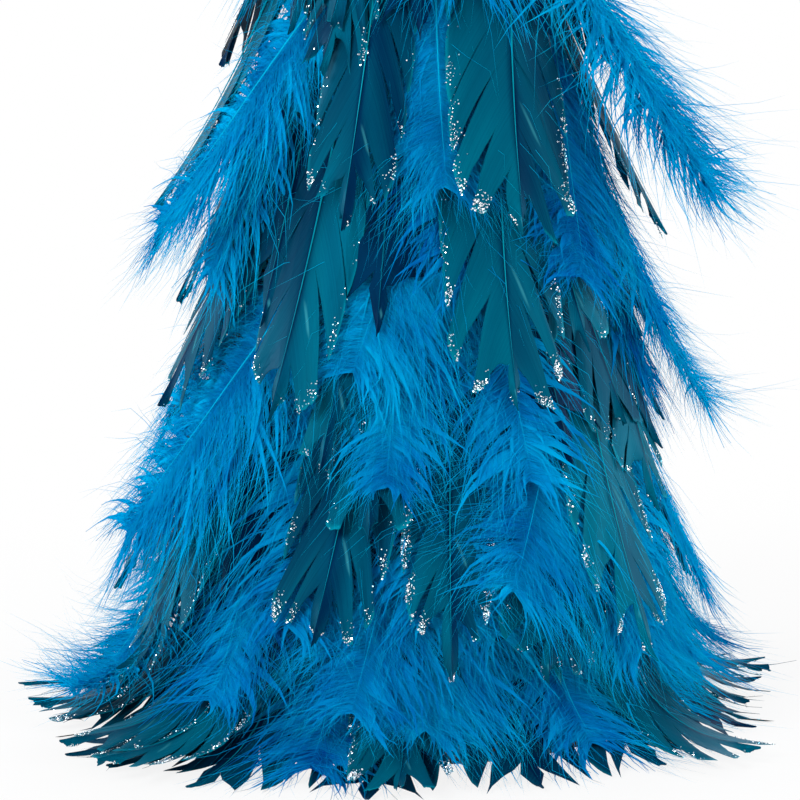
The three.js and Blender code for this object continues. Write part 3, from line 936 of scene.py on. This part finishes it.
def dyed_thread():
    """Wound thread and tape, dyed to match the vanes."""
    finish = Finish("dyed_thread", 0.75, Specular_IOR_Level=0.25, Sheen_Weight=0.3,
                    Sheen_Roughness=0.4)
    wind = finish.cloud(120.0, 120.0, 3200.0, 1.0)
    finish.set("Base Color", finish.blend(wind, srgb(4, 30, 44), srgb(10, 70, 88)))
    finish.set("Roughness", 0.65 + wind * 0.25)
    finish.bump(wind, 0.0002, 0.8)
    return finish.material


azure, petrol, silver = azure_plume(), petrol_vane(), silver_glitter()
kraft, thread = kraft_paper(), dyed_thread()
plumes, vanes = plume_maker(), vane_maker()


# ---------------------------------------------------------------- pieces
def joined(meshes, name):
    """One mesh out of several, which are used up."""
    objects = [new_object(name, mesh) for mesh in meshes]
    if len(objects) > 1:
        with bpy.context.temp_override(
            active_object=objects[0], selected_objects=objects, selected_editable_objects=objects
        ):
            bpy.ops.object.join()
    return objects[0]


def add_piece(name, meshes, slot, *nodes):
    """Puts a finished piece on the tree in place of its solid."""
    piece = joined(meshes, name)
    piece.name = name
    piece.data.name = name
    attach(piece, "root")
    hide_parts(*nodes)
    return piece


def plume_mesh(path, length, lean, turn, azimuth, half, shade, seed, barbs, **more):
    sheet = guide_sheet(path, length, lean, turn, math.radians(azimuth), *plume_sheet)
    return plumes.make(sheet, {
        "Length": length, "Half width": half, "Shade": shade, "Seed": seed, "Barbs": barbs,
        "Finish": azure, **more,
    })


def vane_mesh(path, length, lean, turn, azimuth, half, shade, seed, flakes, **more):
    sheet = guide_sheet(path, length, lean, turn, math.radians(azimuth), *vane_sheet)
    return vanes.make(sheet, {
        "Length": length, "Half width": half, "Shade": shade, "Seed": seed, "Flakes": flakes,
        "Finish": petrol, "Glitter": silver, **more,
    })


# Builds of feathers that are glued on singly, hang in fringes or stand in the tuft
single_webs = {"Webs": 6, "Web stations": 12, "Web rings": 10}
fringe_down = {
    "Locks": 150, "Segments": 3, "Barb radius": 0.13 * mm, "Rib share": 0.82, "Fluff": 8.5 * mm,
}
fringe_barbs = 380
tuft_barbs = 900
fringe_webs = {"Webs": 5, "Web stations": 8, "Web rings": 7}
upper_splits = {"Split": 7 * mm, "Fingers": 0.5, "Curl": 3 * mm}
floor_splits = {"Split": 14 * mm, "Fingers": 1.7, "Curl": 14 * mm}
covert_webs = {
    "Webs": 4, "Web stations": 6, "Web rings": 6, "Slope": 1.3, "Fingers": 1.6, "Loose barbs": 0,
}
tuft_down = {"Bare share": 0.24, "Segments": 4}
tuft_webs = {"Bare share": 0.26}

for i, (row, azimuth, lean, long, wide, turn, flare, shade, barbs) in enumerate(plume_places, 1):
    fluffing = zip(fluffing_labels, fluffed_plumes.get(i, usual_plume))
    mesh = plume_mesh(
        row_path(row, flare), row_length(row) * long, lean, turn, azimuth,
        plume_width * wide / 2 * plume_reach, shade, i, barbs,
        **dict(fluffing),
    )
    add_piece(f"soft_plume_{i:02}", [mesh], "blue_plume", f"plume_{i:02}")

for i, (row, azimuth, lean, long, wide, turn, flare, shade, flakes) in enumerate(vane_places, 1):
    mesh = vane_mesh(
        row_path(row, flare), row_length(row) * long, lean, turn, azimuth,
        vane_width * wide / 2 * vane_reach, shade, 40 + i, flakes, **single_webs,
    )
    add_piece(f"stiff_vane_{i:02}", [mesh], "teal_vane", f"vane_{i:02}")


def tape_mesh(row):
    """Tape wound round the cone, as a closed ring."""
    low = row_height(row) - tape_height / 2
    high = low + tape_height
    inner = clearance / math.cos(cone_angle)
    outer = (clearance + tape_thickness) / math.cos(cone_angle)
    profile = [
        (cone_radius_at(low) + inner, low), (cone_radius_at(low) + outer, low),
        (cone_radius_at(high) + outer, high), (cone_radius_at(high) + inner, high),
    ]
    sides = 72
    places = [
        (r * math.sin(2 * math.pi * k / sides), -r * math.cos(2 * math.pi * k / sides), z)
        for k in range(sides) for r, z in profile
    ]
    faces = []
    for k in range(sides):
        for j in range(4):
            a, b = k * 4 + j, k * 4 + (j + 1) % 4
            c, d = (k + 1) % sides * 4 + (j + 1) % 4, (k + 1) % sides * 4 + j
            faces.append((a, d, c, b))
    mesh = bpy.data.meshes.new("tape")
    mesh.from_pydata(places, [], faces)
    mesh.materials.append(thread)
    return mesh


for i, (row, count, first, bare, stiff_places) in enumerate(fringes, 1):
    path = row_path(row)
    length = row_length(row)
    spacing = 2 * math.pi * path_point(path, length / 2)[0] / count
    widen = fringe_fill_share * 2 * spacing / (plume_width + vane_width)
    plume_half = plume_width * widen / 2 * (
        fringe_plume_reach if i < first_broad_fringe else upper_plume_reach
    )
    vane_half = vane_width * widen / 2
    soft, stiff = [], []
    for k in range(count):
        if k in bare:
            continue
        long, lean, turn = fringe_spread[(k * 3 + row) % len(fringe_spread)]
        azimuth = first + k * 360 / count
        beside = azimuth + 180 / count
        seed = 100 + i * 20 + k
        # The lowest fringes are painted paler, standing in for the light that falls on them
        shade = 0.7 * ((k * 5 + i * 3) % 7) / 6 - 0.1 + (0.3 if i <= painted_pale_fringes else 0)
        covert_share = 0.8 if i < first_long_fringe else 1.2
        covert_painted_shade = 0.6 * abs(math.sin(math.radians(beside))) - 0.4
        splits = upper_splits
        if i <= floor_fringes:
            short = 1 - short_share * max(0, math.cos(math.radians(azimuth - short_azimuth)))
            long *= short
            covert_share = short if row == 0 else covert_share * short
            # Coverts that reach the floor are painted paler, as if lit from above
            covert_painted_shade = 0.25
            splits = floor_splits
        if k in stiff_places:
            stiff.append(vane_mesh(
                path, length * long, lean, turn, azimuth, vane_half * vane_reach, shade, seed, 0.5,
                **fringe_webs, **splits,
            ))
        else:
            soft.append(plume_mesh(
                path, length * long, lean, turn, azimuth, plume_half, shade, seed, fringe_barbs,
                **fringe_down,
            ))
        # Short covert behind the gap to the next feather, painted dark as the shade in the gap and
        # paler towards the tree's sides, where light comes through
        stiff.append(vane_mesh(
            row_path(row - 0.5), length * covert_share, -lean, turn, beside,
            vane_half * covert_reach, covert_painted_shade, seed + 10, 0.0, **covert_webs,
        ))
    add_piece(f"fringe_plumes_{i}", soft, "blue_plume", f"fringe_{i}")
    add_piece(f"fringe_vanes_{i}", stiff, "teal_vane", f"fringe_{i}")
    add_piece(f"fringe_tape_{i}", [tape_mesh(row)], "mixed_fringe", f"fringe_{i}")

path = tuft_path()
for i in range(tuft_count):
    azimuth = i * 360 / tuft_count
    if i % 2 == 0:
        slot, mesh = "blue_plume", plume_mesh(
            path, tuft_length, 0, 0, azimuth, tuft_width / 2, 0.55, 300 + i, tuft_barbs,
            **tuft_down,
        )
    else:
        slot, mesh = "teal_vane", vane_mesh(
            path, tuft_length * tuft_vane_share, 0, 0, azimuth, tuft_width / 2 * tuft_vane_reach,
            0.5, 300 + i, 1.0, **tuft_webs,
        )
    add_piece(f"tuft_plumage_{i + 1}", [mesh], slot, f"tuft_feather_{i + 1}")

# Core pieces keep their solids and get their finishes
for name, finish in (("base_board", kraft), ("cone_shell", kraft), ("tuft_binding", thread)):
    piece = frame["nodes"][name]
    piece.data.materials.clear()
    piece.data.materials.append(finish)


# ---------------------------------------------------------------- table, light and camera
def seen_white(wiring):
    """1 for the camera's rays and those of reflections and glass, which see the backdrop white."""
    camera_ray, glossy_ray, glass_ray = (
        wiring.out("ShaderNodeLightPath", f"Is {kind} Ray")
        for kind in ("Camera", "Glossy", "Transmission")
    )
    return camera_ray.most(glossy_ray).most(glass_ray)


def white_table():
    """Floor that shows white to the camera and in reflections, and keeps the tree's shadow."""
    places = [(-4, -3, 0), (4, -3, 0), (4, 6, 0), (-4, 6, 0)]
    mesh = bpy.data.meshes.new("white_table")
    mesh.from_pydata(places, [], [(0, 1, 2, 3)])
    finish = Finish("white_table", 0.9, Base_Color=(0.93, 0.93, 0.93, 1), Specular_IOR_Level=0.1)
    x, y, z = finish.split(finish.out("ShaderNodeTexCoord", "Object"))
    away = (x * x + y * y) ** 0.5
    white = seen_white(finish) * finish.ramp(away, 0.1, 0.4, 0.86, 1.0)
    finish.mix_in(finish.node("ShaderNodeEmission"), white)
    mesh.materials.append(finish.material)
    table = new_object("white_table", mesh)


def soft_world():
    """Even light from all round, white where the camera or a reflection sees it."""
    world = bpy.data.worlds.new("studio")
    bpy.context.scene.world = world
    world.use_nodes = True
    wiring = Wiring(world.node_tree)
    background = world.node_tree.nodes["Background"]
    background.inputs["Color"].default_value = (1, 1, 1, 1)
    strength = seen_white(wiring) * (1 - room_light) + room_light
    plug(world.node_tree, strength, background.inputs["Strength"])


def soft_lamp(name, place, aim_height, size, power):
    """Square softbox turned to face the tree at a height."""
    lamp = bpy.data.lights.new(name, "AREA")
    lamp.size = size
    lamp.energy = power
    holder = new_object(name, lamp)
    holder.location = place
    x, y, z = place
    pitch = math.atan2(math.hypot(x, y), z - aim_height)
    holder.rotation_euler = (pitch, 0, math.atan2(x, -y))


# Light all round, and the camera at the photograph's place: level with the tree's upper part,
# looking a little down
room_light = 0.28
camera_place = (-0.00531, -1.3, 0.348)
camera_drop = math.radians(11.149)
focal_length = 205.3
# Softboxes: name, place, height of their aim, size and watts
softboxes = [
    ("key", (-1.1, -1.5, 1.3), 0.15, 0.8, 28), ("fill", (1.3, -1.4, 0.8), 0.15, 0.9, 13),
    ("left", (-1.7, 0.3, 0.7), 0.2, 0.9, 16), ("right", (1.7, 0.3, 0.7), 0.2, 0.9, 14),
    ("back", (0.3, 1.7, 1.2), 0.2, 0.9, 10),
]

white_table()
soft_world()
for softbox in softboxes:
    soft_lamp(*softbox)

lens = bpy.data.cameras.new("camera")
lens.sensor_width = 36
lens.lens = focal_length
lens.clip_start = 0.05
camera = new_object("camera", lens)
camera.location = camera_place
camera.rotation_euler = (math.radians(90) - camera_drop, 0, 0)
bpy.context.scene.camera = camera
bpy.context.scene.view_settings.view_transform = "Standard"
